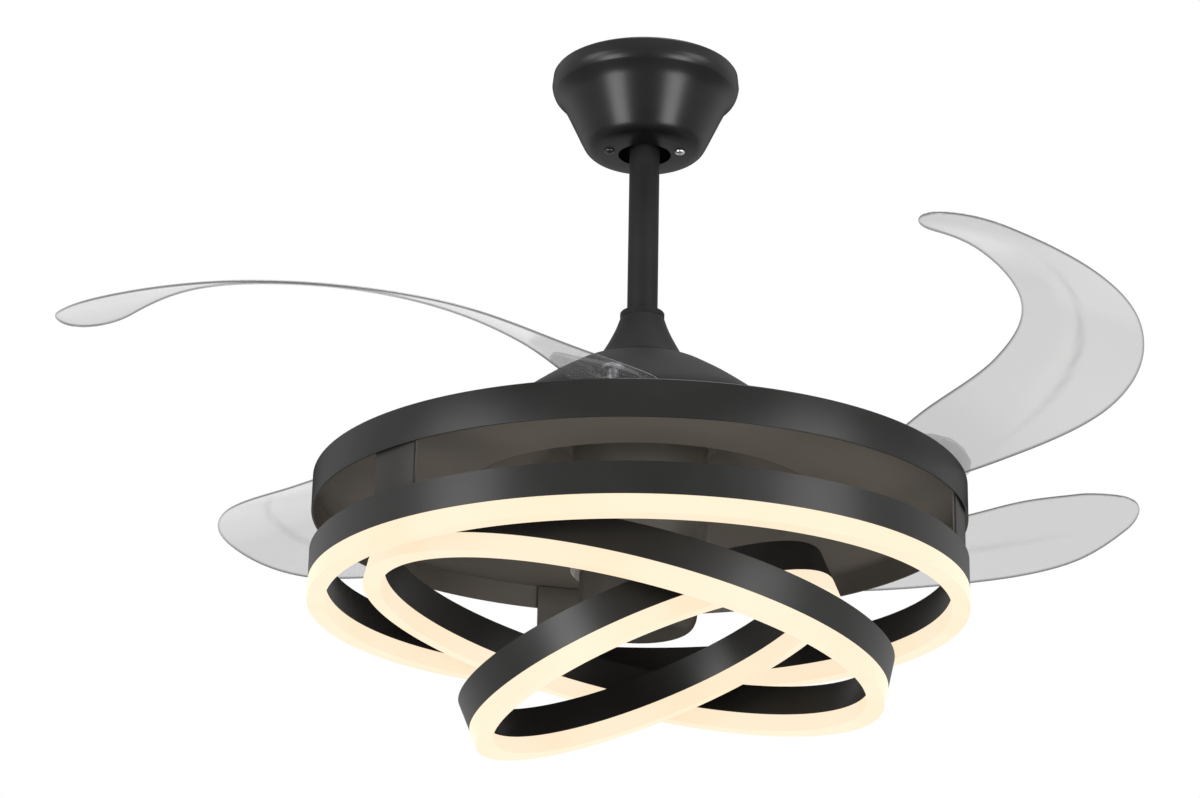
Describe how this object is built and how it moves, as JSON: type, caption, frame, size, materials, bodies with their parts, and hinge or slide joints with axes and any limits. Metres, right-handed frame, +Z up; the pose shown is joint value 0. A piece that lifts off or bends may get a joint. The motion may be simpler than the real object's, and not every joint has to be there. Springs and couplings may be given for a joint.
{
  "type": "retractable blade ceiling fan with lit hoops",
  "caption": "Black ceiling fan on a downrod, clear crescent blades that fold in over a flat round body, and interlaced tilted hoops of warm light hung below it.",
  "frame": {"origin": "centre of the hanger bracket's top face, where it meets the ceiling", "axes": "+Z up, along the fan's axis; +X to the viewer's right; +Y away from the viewer"},
  "size_m": [0.834, 0.834, 0.5538],
  "materials": {
    "black_enamel": "black satin enamel",
    "charcoal_enamel": "charcoal satin enamel",
    "zinc_plate": "zinc-plated pressed steel",
    "steel": "plain turned steel",
    "enamelled_copper": "enamelled copper wire",
    "laminated_iron": "stacked iron sheets",
    "ferrite": "pressed ferrite",
    "black_plastic": "moulded black plastic",
    "white_plastic": "moulded white plastic",
    "smoky_blade": "clear grey acrylic",
    "warm_lens": "frosted warm-white diffuser",
    "lamp_strip": "lamp strip with yellow dots"
  },
  "bodies": {
    "frame": {"hanger_bracket": "zinc_plate", "yoke": "zinc_plate", "hanger_ball": "black_plastic", "control_box": "black_plastic", "downrod": "black_enamel", "canopy": "black_enamel", "coupling_cover": "black_enamel", "column_cup": "black_enamel", "ball_pin": "steel", "canopy_screw_left": "steel", "canopy_screw_right": "steel", "yoke_pin": "steel", "motor_shaft": "steel", "bearing_lower": "steel", "bearing_upper": "steel", "shaft_nut": "steel", "stator_core": "laminated_iron", "windings": "enamelled_copper", "lamp_pan": "charcoal_enamel", "column": "charcoal_enamel", "pan_post_1": "charcoal_enamel", "pan_post_2": "charcoal_enamel", "pan_post_3": "charcoal_enamel", "hoop_a_channel": "charcoal_enamel", "hoop_b_channel": "charcoal_enamel", "hoop_c_channel": "charcoal_enamel", "hoop_link_ab_1": "charcoal_enamel", "hoop_link_ab_2": "charcoal_enamel", "hoop_link_bc_1": "charcoal_enamel", "hoop_link_bc_2": "charcoal_enamel", "led_driver": "white_plastic", "hoop_a_lens": "warm_lens", "hoop_b_lens": "warm_lens", "hoop_c_lens": "warm_lens", "hoop_a_strip": "lamp_strip", "hoop_b_strip": "lamp_strip", "hoop_c_strip": "lamp_strip"},
    "rotor": {"magnet_ring": "ferrite", "rotor_can": "zinc_plate", "rotor_floor": "zinc_plate", "rotor_cover": "black_enamel", "blade_deck": "charcoal_enamel", "hinge_bolt_1": "steel", "hinge_bolt_2": "steel", "hinge_bolt_3": "steel", "hinge_bolt_4": "steel", "hinge_spring_1": "steel", "hinge_spring_2": "steel", "hinge_spring_3": "steel", "hinge_spring_4": "steel"},
    "sync": {"sync_ring": "white_plastic"},
    "wing_1": {"blade_1": "smoky_blade", "blade_arm_1": "black_plastic"},
    "wing_2": {"blade_2": "smoky_blade", "blade_arm_2": "black_plastic"},
    "wing_3": {"blade_3": "smoky_blade", "blade_arm_3": "black_plastic"},
    "wing_4": {"blade_4": "smoky_blade", "blade_arm_4": "black_plastic"}
  },
  "joints": [
    {"name": "rotor_spin", "type": "hinge", "parent": "frame", "child": "rotor", "pos_m": [0, 0, -0.288], "axis": [0, 0, 1], "continuous": true},
    {"name": "blade_1_fold", "type": "hinge", "parent": "rotor", "child": "wing_1", "pos_m": [0.21, -0.02, -0.34], "axis": [0, 0, -1], "range_deg": [0, 76]},
    {"name": "blade_2_fold", "type": "hinge", "parent": "rotor", "child": "wing_2", "pos_m": [0.02, 0.21, -0.34], "axis": [0, 0, -1], "range_deg": [0, 76]},
    {"name": "blade_3_fold", "type": "hinge", "parent": "rotor", "child": "wing_3", "pos_m": [-0.21, 0.02, -0.34], "axis": [0, 0, -1], "range_deg": [0, 76]},
    {"name": "blade_4_fold", "type": "hinge", "parent": "rotor", "child": "wing_4", "pos_m": [-0.02, -0.21, -0.34], "axis": [0, 0, -1], "range_deg": [0, 76]},
    {"name": "sync_turn", "type": "hinge", "parent": "rotor", "child": "sync", "pos_m": [0, 0, -0.349], "axis": [0, 0, 1], "range_deg": [0, 10.8]}
  ],
  "couplings": [
    {"joint": "blade_2_fold", "follows": "blade_1_fold", "ratio": 1},
    {"joint": "blade_3_fold", "follows": "blade_1_fold", "ratio": 1},
    {"joint": "blade_4_fold", "follows": "blade_1_fold", "ratio": 1},
    {"joint": "sync_turn", "follows": "blade_1_fold", "ratio": 0.1413}
  ]
}
